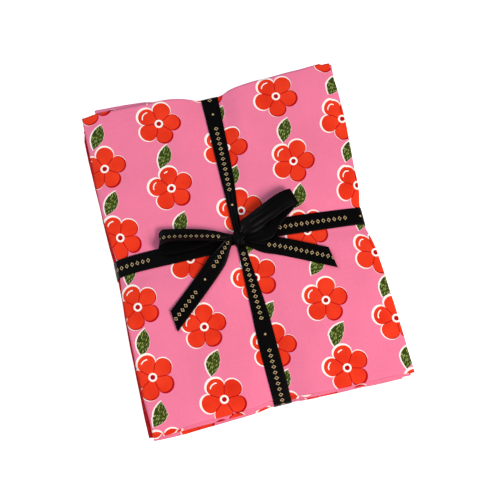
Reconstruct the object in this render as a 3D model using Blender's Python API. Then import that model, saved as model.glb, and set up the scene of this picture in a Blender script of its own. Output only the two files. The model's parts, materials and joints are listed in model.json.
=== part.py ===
"""A bundle of folded fat quarters of quilting cotton, tied both ways with ribbon in a bow.

Metres, +Z up. The origin is on the surface it lies on, under the middle of the stack.
+X is to the right across the folded width and +Y to the back along the folded length.

Each fat quarter is a cut cloth folded in half, so that two plies lie together, and then in three.
Its solid is the section of that fold: one pair of plies that goes back and forth three times.
The stack is laid out flat first, and pressed() then squeezes every point of it where the ribbon
runs. All the layers share one grid of stations, so they stay in order when they are squeezed.
"""

import math
from collections import namedtuple

import bmesh
import bpy
import numpy as np

# The cut cloth and its fold
CUT_LENGTH = 0.552  # 21.75 in, folded in three across the stack
CUT_WIDTH = 0.458  # 18 in, folded in half along the stack
WIDTH = CUT_LENGTH / 3
LENGTH = CUT_WIDTH / 2
PLY_PAIR = 0.0010  # two plies of cotton and the air between them
PAIR_GAP = 0.0004
LAYERS = 3
PITCH = LAYERS * (PLY_PAIR + PAIR_GAP)
FOLD_STEPS = 3

MM = 0.001

# How each fat quarter lies, from the bottom one up, in millimetres. `turn` is how far its sides
# drift to the left from front to back. `top_edge_in` and `bottom_edge_in` are how far the free
# edges of its top and bottom layers stop short of the folds beside them.
Lay = namedtuple("Lay", "right back turn top_edge_in bottom_edge_in cloth")
LAY_ROWS = (
    (0.5, 0.6, 0.6, 1.0, 2.0, "rose"),
    (-0.9, 1.4, -1.0, 2.2, 1.4, "red"),
    (0.8, -0.6, 1.2, 1.2, 2.4, "pink"),
    (-0.5, 1.9, -0.7, 1.8, 1.0, "cream"),
    (1.0, 0.2, 1.0, 2.4, 1.6, "coral"),
    (-0.8, -1.2, -1.3, 1.0, 2.0, "pink"),
    (0.8, -1.8, 1.4, 2.0, 1.2, "rose"),
    (-2.0, -0.4, -0.4, 1.4, 2.2, "red"),
    (-1.2, -0.6, 0.4, 0.6, 1.4, "red"),
    (1.4, 0.4, 0.3, 0.0, 1.8, "pink"),
)
STACK = len(LAY_ROWS) * PITCH - PAIR_GAP

# The ribbon
RIBBON = 0.0127
RIBBON_THICK = 0.0010
CLEAR = 0.0003
SEAT = CLEAR + RIBBON_THICK / 2  # from the cloth to the middle of a ribbon that lies on it

# Where the ribbon squeezes the stack, as distances from the crossing of the two troughs
TIE = (-0.0006, 0.0036)
TROUGH_FLAT = 0.0095  # half the flat floor of a trough
TROUGH_END = 0.0270
SHOULDER = (0.070, 0.086)
REACH = (0.096, 0.122)
TOP_DROP = (0.0020, 0.0032, 0.0062)  # at the middle, the shoulder and the reach
BOTTOM_LIFT = (0.0029, 0.0031, 0.0046)
EDGE_SLUMP = 0.0010  # how far the top slumps at the reach

# How far the ribbon pulls each side in, and which share of that is left beside the ribbon, at
# TROUGH_END and at SHOULDER. Axis 0 is X and 1 is Y.
Pull = namedtuple("Pull", "axis sign pull near far")
PULLS = (
    Pull(0, -1, 0.0010, 0.80, 0.15),
    Pull(0, 1, 0.0048, 0.82, 0.30),
    Pull(1, -1, 0.0025, 0.45, 0.05),
    Pull(1, 1, 0.0050, 0.35, 0.05),
)
PULL_END = 0.13  # distance beside the ribbon where nothing of the pull is left

# Where the two ribbons round the stack lie, in millimetres from the middle of the part. They are
# drawn in by their pleats towards the knot.
Course = namedtuple("Course", "along aside half_width")
LENGTHWISE_ROWS = (
    (-115.0, 0.8, 6.2),
    (-70.0, 0.0, 6.2),
    (-44.0, -0.2, 5.3),
    (-5.0, -1.6, 3.0),
    (20.0, -1.4, 3.0),
    (54.0, 0.1, 4.8),
    (110.0, 1.1, 6.2),
)
CROSSWISE_ROWS = (
    (-91.0, 2.7, 6.2),
    (-74.0, 3.8, 6.3),
    (-26.0, 3.5, 6.3),
    (-7.0, 3.4, 3.2),
    (3.0, 3.4, 3.2),
    (27.0, 5.2, 6.3),
    (87.0, 0.4, 6.2),
)

ROUNDING = 32  # degrees of bend for each facet of a ribbon at the corners of the stack

# The bow. Its loops' rows are in millimetres: `along` the line from the knot to where the loop
# reaches, `height` above the cloth under the knot, and `aside` of that line, towards the back.
KNOT = (-0.0020, 0.0034)
KNOT_RADIUS = 0.0052
KNOT_HEIGHT = 0.0074
KNOT_BEVEL = 0.0014
LoopRow = namedtuple("LoopRow", "along height aside half_width")
LOOP_STEPS = 2
LOOP_REACH = {"bow_loop_left": (-0.0585, 0.0118), "bow_loop_right": (0.0417, 0.0232)}
LOOP_ROWS = {
    "bow_loop_left": (
        (5.7, 5.9, 0.8, 2.2),
        (14.0, 7.2, 2.2, 3.8),
        (25.0, 8.0, 3.7, 4.8),
        (38.0, 8.4, 4.9, 5.0),
        (48.0, 8.0, 5.4, 5.2),
        (53.8, 6.8, 4.6, 5.8),
        (55.6, 5.0, 2.6, 6.2),
        (54.6, 3.4, 0.4, 6.35),
        (46.0, 2.7, -0.3, 6.35),
        (33.0, 2.8, 1.4, 6.2),
        (20.0, 3.3, 2.4, 4.2),
        (5.7, 3.9, 1.0, 2.2),
    ),
    "bow_loop_right": (
        (5.7, 5.9, 2.6, 3.6),
        (14.0, 7.8, 3.0, 5.6),
        (27.0, 9.0, 2.2, 6.35),
        (39.0, 8.7, 2.0, 6.35),
        (46.4, 7.6, 0.7, 6.1),
        (48.6, 6.0, 0.1, 6.0),
        (47.0, 4.7, -0.2, 6.1),
        (37.0, 4.3, -1.7, 6.35),
        (26.0, 4.4, -4.8, 6.35),
        (17.0, 4.6, -6.4, 5.8),
        (5.7, 3.9, -0.8, 3.0),
    ),
}
END_ROUTES = {
    "ribbon_end_left": ((-0.0095, 0.0033), (-0.0293, -0.0168), (-0.0590, -0.0430)),
    "ribbon_end_right": ((0.0036, -0.0007), (0.0220, -0.0072), (0.0584, -0.0246)),
}
END_SLANT = {"ribbon_end_left": 0.0044, "ribbon_end_right": -0.0039}
END_LIFT = 0.0007  # how far a cut end curls up
END_ROOT = 0.0028  # half its width where it leaves the knot
END_SPREAD = 0.0200  # distance from the knot at which it is full width
END_STEPS = 4
FOOTPRINT = np.linspace(-1.1, 1.1, 9)  # where the ground under an end is felt for, in half widths

COLOURS = {
    "pink": (0.91, 0.21, 0.37),
    "rose": (0.72, 0.06, 0.20),
    "red": (0.72, 0.03, 0.03),
    "coral": (0.91, 0.13, 0.07),
    "cream": (0.98, 0.86, 0.72),
    "ribbon": (0.012, 0.011, 0.012),
}
ROUGHNESS = 0.85


def in_metres(kind, rows):
    return [kind(*(MM * value if isinstance(value, float) else value for value in row)) for row in rows]


LAYS = in_metres(Lay, LAY_ROWS)
LENGTHWISE = in_metres(Course, LENGTHWISE_ROWS)
CROSSWISE = in_metres(Course, CROSSWISE_ROWS)


def clear_scene():
    for old in list(bpy.data.objects):
        bpy.data.objects.remove(old)


def material(name):
    made = bpy.data.materials.new(name)
    made.use_nodes = True
    shader = made.node_tree.nodes["Principled BSDF"]
    shader.inputs["Base Color"].default_value = (*COLOURS[name], 1)
    shader.inputs["Roughness"].default_value = ROUGHNESS
    made.diffuse_color = (*COLOURS[name], 1)
    return made


# The squeeze of the tie


def across_trough(distance):
    """1 on the flat floor of a trough, falling to 0 at its outer end."""
    return np.interp(np.abs(distance), (TROUGH_FLAT, TROUGH_END), (1.0, 0.0))


def squeeze(u, v, depths):
    """Depth of the two crossing troughs, blended so that their crossing is no deeper."""
    lengthwise = across_trough(u) * np.interp(np.abs(v), (TROUGH_END, SHOULDER[1], REACH[1]), depths)
    crosswise = across_trough(v) * np.interp(np.abs(u), (TROUGH_END, SHOULDER[0], REACH[0]), depths)
    return lengthwise + crosswise - lengthwise * crosswise / depths[0]


def slump(u, v):
    side = np.interp(np.abs(u), (SHOULDER[0], REACH[0]), (0.0, 1.0))
    end = np.interp(np.abs(v), (SHOULDER[1], REACH[1]), (0.0, 1.0))
    return EDGE_SLUMP * (side + end - side * end)


def pressed(x, y, z):
    """Moves a point of the flat stack to where it lies once the ribbon is tied."""
    x, y, z = np.broadcast_arrays(np.asarray(x, float), y, z)
    from_tie = (x - TIE[0], y - TIE[1])
    top = STACK - np.maximum(squeeze(*from_tie, TOP_DROP), slump(*from_tie))
    bottom = squeeze(*from_tie, BOTTOM_LIFT)
    moved = [x.copy(), y.copy()]
    for axis, sign, pull, near, far in PULLS:
        outward = (sign * from_tie[axis] - TROUGH_END) / (REACH[axis] - TROUGH_END)
        places = (TROUGH_FLAT, TROUGH_END, SHOULDER[1 - axis], PULL_END)
        share = np.interp(np.abs(from_tie[1 - axis]), places, (1.0, near, far, 0.0))
        moved[axis] -= sign * pull * share * np.maximum(outward, 0.0)
    return np.stack((*moved, bottom + z / STACK * (top - bottom)), axis=-1)


def stations(axis):
    """Where the creases of the squeeze lie across the stack, from left to right or front to back."""
    half = (TROUGH_FLAT, TROUGH_END, SHOULDER[axis])
    return [TIE[axis] + d for d in (*(-h for h in half[::-1]), *half)]


def cloth_top(points):
    return pressed(points[..., 0], points[..., 1], STACK)[..., 2]


def knot_base():
    return float(cloth_top(np.array(KNOT)))


# Shapes


def slab(name, face, back, look, runs_left=()):
    """A closed solid between two grids of points, as cloth has two sides and a rim.

    Each cell is cut along the same diagonal as seen from above, so that layers which share
    stations never cross. Where the rows run to the left, the other corners are joined.
    """
    rows, columns = face.shape[:2]
    mesh = bmesh.new()
    over, under = [[[mesh.verts.new(p) for p in row] for row in grid] for grid in (face, back)]
    for grid in (over, under):
        for i in range(rows - 1):
            for j in range(columns - 1):
                a, b = grid[i][j], grid[i + 1][j]
                c, d = grid[i + 1][j + 1], grid[i][j + 1]
                halves = ((a, b, d), (b, c, d)) if i in runs_left else ((a, b, c), (a, c, d))
                for corners in halves:
                    mesh.faces.new(corners)
    rims = [[(i, j) for i in range(rows)] for j in (0, columns - 1)]
    rims += [[(i, j) for j in range(columns)] for i in (0, rows - 1)]
    for rim in rims:
        for (i, j), (k, m) in zip(rim, rim[1:]):
            mesh.faces.new((over[i][j], over[k][m], under[k][m], under[i][j]))
    bmesh.ops.recalc_face_normals(mesh, faces=mesh.faces)
    data = bpy.data.meshes.new(name)
    mesh.to_mesh(data)
    mesh.free()
    data.materials.append(look)
    made = bpy.data.objects.new(name, data)
    bpy.context.scene.collection.objects.link(made)
    return made


def directions(line):
    """Unit directions of a line at its points."""
    tangent = np.gradient(line, axis=0)
    return tangent / np.linalg.norm(tangent, axis=1)[:, None]


def smooth_rows(rows, per_span):
    """A Catmull-Rom curve through the rows of a table."""
    rows = np.array(rows, float)
    padded = np.vstack((2 * rows[0] - rows[1], rows, 2 * rows[-1] - rows[-2]))
    curve = []
    for a, b, c, d in zip(padded, padded[1:], padded[2:], padded[3:]):
        for t in np.arange(per_span) / per_span:
            curve.append(b + t / 2 * (c - a + t * (2 * a - 5 * b + 4 * c - d + t * (3 * (b - c) + d - a))))
    curve.append(rows[-1])
    return np.array(curve)


# The fat quarters


def fold_section(centre, top_edge_in, bottom_edge_in):
    """Middle line of the pair of plies at one Y, with its normal, and which spans run left.

    It starts at the free edge of the top layer, on the left, and ends at that of the bottom
    layer, on the right. Columns: x, z, normal x, normal z.
    """
    left, right = centre - WIDTH / 2, centre + WIDTH / 2
    turn = (PLY_PAIR + PAIR_GAP) / 2
    reach = turn + PLY_PAIR / 2
    inner = stations(0)
    bottom, middle, top = (PLY_PAIR / 2 + k * (PLY_PAIR + PAIR_GAP) for k in range(LAYERS))
    arc = [(math.sin(a), math.cos(a)) for a in (math.pi * k / FOLD_STEPS for k in range(1, FOLD_STEPS))]
    line = [(x, top, 0.0, 1.0) for x in (left + top_edge_in, *inner, right - reach)]
    line += [(right - reach + turn * s, (top + middle) / 2 + turn * c, s, c) for s, c in arc]
    first_left = len(line)
    line += [(x, middle, 0.0, -1.0) for x in (right - reach, *inner[::-1], left + reach)]
    last_left = len(line) - 1
    line += [(left + reach - turn * s, (middle + bottom) / 2 + turn * c, s, -c) for s, c in arc]
    line += [(x, bottom, 0.0, 1.0) for x in (left + reach, *inner, right - bottom_edge_in)]
    return np.array(line), range(first_left, last_left)


def fat_quarter(number, lay, look):
    """One folded fat quarter, as a slab along its back-and-forth section."""
    slope = lay.turn / LENGTH
    low = (number - 1) * PITCH
    sides = ([], [])
    ends = (lay.back - LENGTH / 2, lay.back + LENGTH / 2)
    for y in (ends[0], *stations(1), ends[1]):
        line, runs_left = fold_section(lay.right - slope * y, lay.top_edge_in, lay.bottom_edge_in)
        x, z, normal_x, normal_z = line.T
        along = y + slope * x if y in ends else y
        for side, half in zip(sides, (PLY_PAIR / 2, -PLY_PAIR / 2)):
            side.append(pressed(x + half * normal_x, along, low + z + half * normal_z))
    face, under = (np.stack(side, axis=1) for side in sides)
    return slab(f"fat_quarter_{number:02d}", face, under, look, runs_left)


# The ribbons round the stack


def outline(axis):
    """Corner points of the pressed stack in the section under a ribbon, as (along, height)."""
    half = (WIDTH / 2, LENGTH / 2)[axis]
    flat = [(s, z) for z in (0.0, STACK) for s in stations(axis)]
    for below, lay in enumerate(LAYS):
        levels = (below * PITCH, (below + 1) * PITCH - PAIR_GAP)
        flat += [(lay[axis] + side, z) for z in levels for side in (-half, half)]
    points = []
    for s, z in flat:
        point = pressed(s, TIE[1], z) if axis == 0 else pressed(TIE[0], s, z)
        points.append((point[axis], point[2]))
    return points


def convex(points):
    """The corners of the convex hull of points in a plane, clockwise."""
    ordered = sorted(set((round(s, 6), round(z, 6)) for s, z in points))

    def half_hull(candidates):
        hull = []
        for p in candidates:
            while len(hull) > 1 and bend(hull[-2], hull[-1], p) >= 0:
                hull.pop()
            hull.append(p)
        return hull[:-1]

    def bend(a, b, c):
        return (b[0] - a[0]) * (c[1] - b[1]) - (b[1] - a[1]) * (c[0] - b[0])

    return np.array(half_hull(ordered) + half_hull(ordered[::-1]))


def taut(points, clear):
    """The path of a tight ribbon round points of a section, rounded off `clear` from them."""
    hull = convex(points)
    sides = np.roll(hull, -1, axis=0) - hull
    outward = np.stack((-sides[:, 1], sides[:, 0]), axis=1) / np.linalg.norm(sides, axis=1)[:, None]
    path = []
    for corner, before, after in zip(hull, np.roll(outward, 1, axis=0), outward):
        bend = math.degrees(math.acos(min(1.0, float(before @ after))))
        steps = max(1, round(bend / ROUNDING))
        for k in range(steps + 1):
            normal = before * (1 - k / steps) + after * (k / steps)
            path.append(corner + clear * normal / np.linalg.norm(normal))
    return np.array(path)


def band(rows, along):
    """How far aside a ribbon lies and half its width, at these places along it."""
    places, asides, halves = np.array(rows).T
    return np.interp(along, places, asides), np.interp(along, places, halves)


def ribbon_band(name, axis, rows, crossing, look):
    """A ribbon from the knot, round the stack and back to the knot."""
    path = taut(outline(axis) + crossing, SEAT)
    knot_reach = KNOT_RADIUS + CLEAR
    clockwise = np.arctan2(path[:, 0] - KNOT[axis], path[:, 1] - STACK / 2) % math.tau
    path = path[np.argsort(clockwise)]
    height = path[0, 1]
    path = np.vstack(((KNOT[axis] + knot_reach, height), path, (KNOT[axis] - knot_reach, height)))
    along, z = path.T
    aside, half = band(rows, along)
    half = np.where(z > STACK / 2, half, RIBBON / 2)
    tangent = directions(path)
    normal = np.stack((-tangent[:, 1], tangent[:, 0]), axis=1)
    grids = []
    for offset in (RIBBON_THICK / 2, -RIBBON_THICK / 2):
        s, z = (path + offset * normal).T
        across = [aside + sign * half for sign in (1, -1)]
        edges = [(s, a, z) if axis == 0 else (a, s, z) for a in across]
        grids.append(np.stack([np.stack(edge, axis=1) for edge in edges], axis=1))
    return slab(name, *grids, look)


# The bow


def strip(name, middle, sideways, half, look, slant=0.0):
    """A ribbon along a line of points, `half` wide on each side. `slant` skews its last end."""
    tangent = directions(middle)
    normal = np.cross(tangent, sideways)
    normal /= np.linalg.norm(normal, axis=1)[:, None]
    skew = np.zeros((len(middle), 1))
    skew[-1] = slant
    edges = [middle + sign * (half[:, None] * sideways + skew * tangent) for sign in (1, -1)]
    grids = [
        np.stack([edge + offset * normal for edge in edges], axis=1)
        for offset in (RIBBON_THICK / 2, -RIBBON_THICK / 2)
    ]
    return slab(name, *grids, look)


def bow_loop(name, look):
    reach = np.subtract(LOOP_REACH[name], KNOT)
    axis = reach / np.linalg.norm(reach)
    aside_axis = np.array((-axis[1], axis[0])) * math.copysign(1, axis[0])
    along, height, aside, half = smooth_rows(in_metres(LoopRow, LOOP_ROWS[name]), LOOP_STEPS).T
    plan = KNOT + along[:, None] * axis + aside[:, None] * aside_axis
    middle = np.column_stack((plan, knot_base() + height))
    sideways = np.tile((*aside_axis, 0.0), (len(middle), 1))
    return strip(name, middle, sideways, half, look)


def carried(points):
    """Height of the cloth, or of a ribbon round it, under points of the plan."""
    height = cloth_top(points)
    on_ribbon = np.zeros(points.shape[:-1], bool)
    for axis, rows in ((0, CROSSWISE), (1, LENGTHWISE)):
        aside, half = band(rows, points[..., axis])
        on_ribbon |= np.abs(points[..., 1 - axis] - aside) < half + RIBBON_THICK
    return height + np.where(on_ribbon, CLEAR + RIBBON_THICK, 0.0)


def ribbon_end(name, look):
    """A free end: out of the knot over the ribbons that meet there, then down onto the cloth."""
    plan = smooth_rows(END_ROUTES[name], END_STEPS)
    tangent = directions(plan)
    aside = np.stack((-tangent[:, 1], tangent[:, 0]), axis=1)
    distance = np.linalg.norm(plan - KNOT, axis=1)
    half = np.interp(distance, (KNOT_RADIUS, END_SPREAD), (END_ROOT, RIBBON / 2))
    across = FOOTPRINT[None, :, None] * half[:, None, None]
    height = carried(plan[:, None] + across * aside[:, None]).max(axis=1)
    height = np.maximum.reduce((height, np.append(height[1:], 0.0), np.append(0.0, height[:-1])))
    height[-1] += END_LIFT
    middle = np.column_stack((plan, height + SEAT))
    sideways = np.column_stack((aside, np.zeros(len(plan))))
    return strip(name, middle, sideways, half, look, END_SLANT[name])


def ribbon_knot(look):
    """The knot: a short round-edged barrel on the cloth where the ribbons meet."""
    bpy.ops.mesh.primitive_cylinder_add(
        vertices=16,
        radius=KNOT_RADIUS,
        depth=KNOT_HEIGHT,
        location=(*KNOT, knot_base() + CLEAR + KNOT_HEIGHT / 2),
    )
    made = bpy.context.object
    made.name = made.data.name = "ribbon_knot"
    made.data.materials.append(look)
    rounding = made.modifiers.new("rounded edge", "BEVEL")
    rounding.width = KNOT_BEVEL
    rounding.segments = 2
    return made


def main():
    clear_scene()
    looks = {name: material(name) for name in COLOURS}
    for number, lay in enumerate(LAYS, start=1):
        fat_quarter(number, lay, looks[lay.cloth])
    ribbon_band("ribbon_lengthwise", 1, LENGTHWISE, [], looks["ribbon"])
    aside, _ = band(LENGTHWISE, TIE[1])
    under = BOTTOM_LIFT[0] - CLEAR - RIBBON_THICK
    crossing = [(aside + sign * (RIBBON / 2 + CLEAR), under) for sign in (-1, 1)]
    ribbon_band("ribbon_crosswise", 0, CROSSWISE, crossing, looks["ribbon"])
    ribbon_knot(looks["ribbon"])
    for name in LOOP_ROWS:
        bow_loop(name, looks["ribbon"])
    for name in END_ROUTES:
        ribbon_end(name, looks["ribbon"])


main()
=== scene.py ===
"""A bundle of ten folded fat quarters of quilting cotton, tied both ways with satin ribbon in a bow.

Metres, +Z up. Every surface is worked out on a flat stack first: pressed() then moves each of its
points to where the tied ribbon squeezes it, so the sheets stay in order and never cross.
"""

import json
from functools import partial
import bpy
import numpy as np
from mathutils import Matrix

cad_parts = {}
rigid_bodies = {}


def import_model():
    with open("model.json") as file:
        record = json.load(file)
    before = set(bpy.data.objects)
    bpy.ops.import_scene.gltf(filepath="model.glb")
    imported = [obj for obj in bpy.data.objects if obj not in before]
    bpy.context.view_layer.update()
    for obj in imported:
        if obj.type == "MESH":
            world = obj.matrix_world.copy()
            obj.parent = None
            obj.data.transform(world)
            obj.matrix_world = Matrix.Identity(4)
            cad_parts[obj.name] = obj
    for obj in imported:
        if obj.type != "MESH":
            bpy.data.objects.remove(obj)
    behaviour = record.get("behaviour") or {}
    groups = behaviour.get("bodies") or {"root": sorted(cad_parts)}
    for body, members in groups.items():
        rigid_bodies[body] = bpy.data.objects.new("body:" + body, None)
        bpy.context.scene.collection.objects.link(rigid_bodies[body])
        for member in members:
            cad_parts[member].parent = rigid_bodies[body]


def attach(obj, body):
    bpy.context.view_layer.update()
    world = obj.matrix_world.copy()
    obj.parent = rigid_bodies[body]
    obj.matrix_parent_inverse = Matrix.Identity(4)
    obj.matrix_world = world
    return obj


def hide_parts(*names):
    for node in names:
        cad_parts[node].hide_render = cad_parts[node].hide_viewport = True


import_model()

bl_info = {
    "name": "Fat quarter bundle",
    "version": (1, 0, 0),
    "blender": (4, 5, 0),
    "location": "View3D > Sidebar > Bundle",
    "description": "Folded fat quarters of quilting cotton, tied both ways with a satin ribbon",
    "category": "Add Mesh",
}

MM = 0.001

# The cut cloth and its fold, as in the CAD
CUT_LENGTH = 0.552
CUT_WIDTH = 0.458
WIDTH = CUT_LENGTH / 3
LENGTH = CUT_WIDTH / 2
PLY_PITCH = 0.0007
FOLD = PLY_PITCH  # radius of the middle of a pair of plies where it turns back
TOP_PAIR = 0.0033  # height of the top pair's middle in a fat quarter
PITCH = 0.0042
PAIR_GAP = 0.0004
STACK = 10 * PITCH - PAIR_GAP
# Points along and down a ply: the top cloth's that shows, and any other
FINE_COUNTS = (97, 117)
COUNTS = (37, 31)

# How each fat quarter lies, from the bottom one up, in millimetres: the CAD's rows
LAY_ROWS = (
    # right, back, turn, top edge in, bottom edge in, cloth
    (0.5, 0.6, 0.6, 1.0, 2.0, "rose"),
    (-0.9, 1.4, -1.0, 2.2, 1.4, "red"),
    (0.8, -0.6, 1.2, 1.2, 2.4, "pink"),
    (-0.5, 1.9, -0.7, 1.8, 1.0, "cream"),
    (1.0, 0.2, 1.0, 2.4, 1.6, "coral"),
    (-0.8, -1.2, -1.3, 1.0, 2.0, "pink"),
    (0.8, -1.8, 1.4, 2.0, 1.2, "rose"),
    (-2.0, -0.4, -0.4, 1.4, 2.2, "red"),
    (-1.2, -0.6, 0.4, 0.6, 1.4, "red"),
    (1.4, 0.4, 0.3, 0.0, 1.8, "pink"),
)
UNPINKED = (10,)  # cut straight all round; the others have pinked ends
# How far an edge strays from its row, in millimetres. For "front", "upper back" and "lower back" a
# pair is a place along the cut and how far to the back the edge lies there. For the other edges it
# is a place towards the back and how far to the right.
STRAYS = {
    (8, "left fold"): (
        (-116, 0.0), (-80, 0.1), (-40, 0.6), (0, 0.6), (40, -0.1), (80, -0.9), (100, -1.3),
        (107, -0.2), (114, 2.4),
    ),
    (9, "left raw"): ((-116, 3.6), (60, 3.6), (86, 2.6), (94, -0.2), (115, -0.6)),
    (9, "left fold"): (
        (-116, 0.4), (-80, 0.4), (-40, 0.8), (0, 0.8), (40, 0.2), (80, -0.2), (92, 0.6),
        (98, 2.6), (115, 3.0),
    ),
    (9, "upper back"): ((0, -4.0), (12, -3.4), (40, -0.6), (552, 0)),
    (9, "lower back"): (
        (0, -4.2), (14, -3.6), (40, -1.0), (340, -1.0), (360, -4.4), (380, -4.4),
        (410, -0.5), (552, 0),
    ),
    (10, "front"): (
        (0, -0.3), (175, -0.6), (190, -1.4), (215, -2.2), (350, -2.4), (362, -3.2),
        (376, -4.3), (430, -4.1), (480, -3.0), (552, -2.4),
    ),
    (10, "upper back"): ((0, 2.3), (60, 2.0), (140, 1.4), (176, 2.4), (200, 1.2), (552, 1.2)),
    (10, "lower back"): (
        (0, -2), (120, -1), (250, -0.5), (300, 0.2), (318, 0.8), (328, 3.2), (345, 4.7),
        (360, 5.2), (372, 5.0), (392, 0.6), (420, -1), (552, -1),
    ),
    (10, "left raw"): (
        (-116, 0.5), (-108, 0.1), (-98, -0.4), (-80, -0.85), (-40, -0.8), (0, -1.0),
        (20, -1.2), (40, -1.6), (60, -1.7), (100, -1.6), (115, -1.3),
    ),
    (10, "left fold"): ((-116, 0.4), (20, 0.6), (60, 2.6), (92, 8.2), (115, 9.0)),
    (10, "right fold"): (
        (-116, -0.9), (-80, -0.2), (-50, -0.4), (0, -0.6), (20, -0.3), (40, 0.0),
        (70, 0.5), (95, 0.5), (115, -0.5),
    ),
    (10, "right raw"): ((-116, -1.4), (50, -1.0), (80, 0.9), (115, 2.7)),
}
# How every edge wanders, in millimetres: lengths of the waves and their heights
WANDER = ((61, 0.175), (97, 0.21), (23, 0.077))
PLACED_BY_HAND = (9, 10)  # the front fold and back edges of the others also stray slowly
SLOW_STRAY, SLOW_LENGTH = 0.0009, 0.075
DROOP, DROOP_SPREAD = 0.0021, 0.0060  # past the left fold under it
TURN_UP, TURN_UP_START = 0.45, 0.0022  # past the back
FLUTTER, FLUTTER_FADE, FLUTTER_LENGTH = 0.00013, 0.0090, 0.0085  # of a ply near its raw edges

# The ribbon and where it squeezes the stack
RIBBON = 0.0127
TIE = (-0.0006, 0.0036)
FALL = 0.0110  # how far beside a ribbon the cloth takes to rise
TROUGH_END = 0.0270
SHOULDER = (0.070, 0.086)
REACH = (0.096, 0.122)
# Depth in millimetres along a trough, where 1 is the shoulder of the stack and 1.4 its edge
TOP_DROP = ((-1, 3.2), (0, 2.0), (1, 3.2), (1.4, 6.2), (1.7, 9.0))
BOTTOM_LIFT = ((-1, 3.1), (0, 2.9), (1, 3.1), (1.4, 4.6), (1.7, 6.0))
EDGE_SLUMP = 0.0010
# How far the ribbon pulls each side in, and which share of that is left at distances beside it, in
# millimetres: axis (0 is X), sign of the side, pull, then the distances and shares
LEFT_SHARES = ((-120, 0), (-70, 0.15), (-30, 0.6), (-7, 1), (7, 1), (30, 0.6), (70, 0.15), (120, 0))
RIGHT_SHARES = (
    (-115, 0), (-82, 0.08), (-52, 0.38), (-27, 0.6), (-8, 1), (7, 0.98), (17, 0.72),
    (42, 0.55), (74, 0.24), (112, 0),
)
FRONT_SHARES = ((-95, 0), (-60, 0.04), (-20, 0.5), (-7, 1), (7, 1), (20, 0.55), (60, 0.1), (95, 0))
BACK_SHARES = ((-90, 0), (-36, 0.04), (-21, 0.34), (-8, 0.98), (8, 0.98), (17, 0.5), (36, 0.24), (90, 0))
PULLS = (
    (0, -1, 1.0, LEFT_SHARES),
    (0, 1, 4.8, RIGHT_SHARES),
    (1, -1, 2.5, FRONT_SHARES),
    (1, 1, 5.0, BACK_SHARES),
)
CORNER_ROUND = 0.0022  # how much further the top and bottom edges are pulled in under the ribbon
CORNER_HEIGHT = 0.0070
# Layers lie looser in some places than in others: by how much, the lengths in Z, X and Y over
# which that changes, and how far Y swings it
SHUFFLE, SHUFFLE_LENGTHS, SHUFFLE_SWING = 0.00042, (0.0093, 0.031, 0.043), 1.3

# Where the ribbons round the stack lie, in millimetres: along, aside, half width
LENGTHWISE_ROWS = (
    (-115, 0.8, 6.2), (-70, 0, 6.2), (-44, -0.2, 5.3), (-5, -1.6, 3.0),
    (20, -1.4, 3.0), (54, 0.1, 4.8), (110, 1.1, 6.2),
)
CROSSWISE_ROWS = (
    (-91, 2.7, 6.2), (-74, 3.8, 6.3), (-26, 3.5, 6.3), (-7, 3.4, 3.2),
    (3, 3.4, 3.2), (27, 5.2, 6.3), (87, 0.4, 6.2),
)

# Slow waves of the whole stack, in millimetres: height, length, direction in degrees, phase
WAVES = (
    (0.34, 96, 24, 0.3), (0.26, 71, 112, 1.9), (0.20, 47, 63, 4.1),
    (0.13, 31, 151, 2.2), (0.10, 22, 8, 5.0),
)
# Creases placed on the top, in millimetres: from x, y to x, y, half width, height
CREASES = (
    (8, 22, 20, 113, 7.0, 1.15),
    (-9, 24, -16, 112, 5.0, 0.55),
    (13, 13, 40, 52, 6.0, 0.5),
    (-14, 12, -52, 44, 7.0, -0.4),
    (14, -8, 58, -60, 8.0, 0.5),
    (26, -20, 52, -58, 5.0, -0.45),
    (-10, -12, -34, -70, 8.0, 0.4),
    (-84, 52, -58, 34, 6.0, -0.5),
    (60, 12, 90, 20, 5.0, 0.6),
    (58, -8, 90, -14, 5.0, 0.6),
    (8, -60, 12, -114, 5.0, 0.5),
    (-10, -66, -14, -114, 5.0, 0.5),
)

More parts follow.
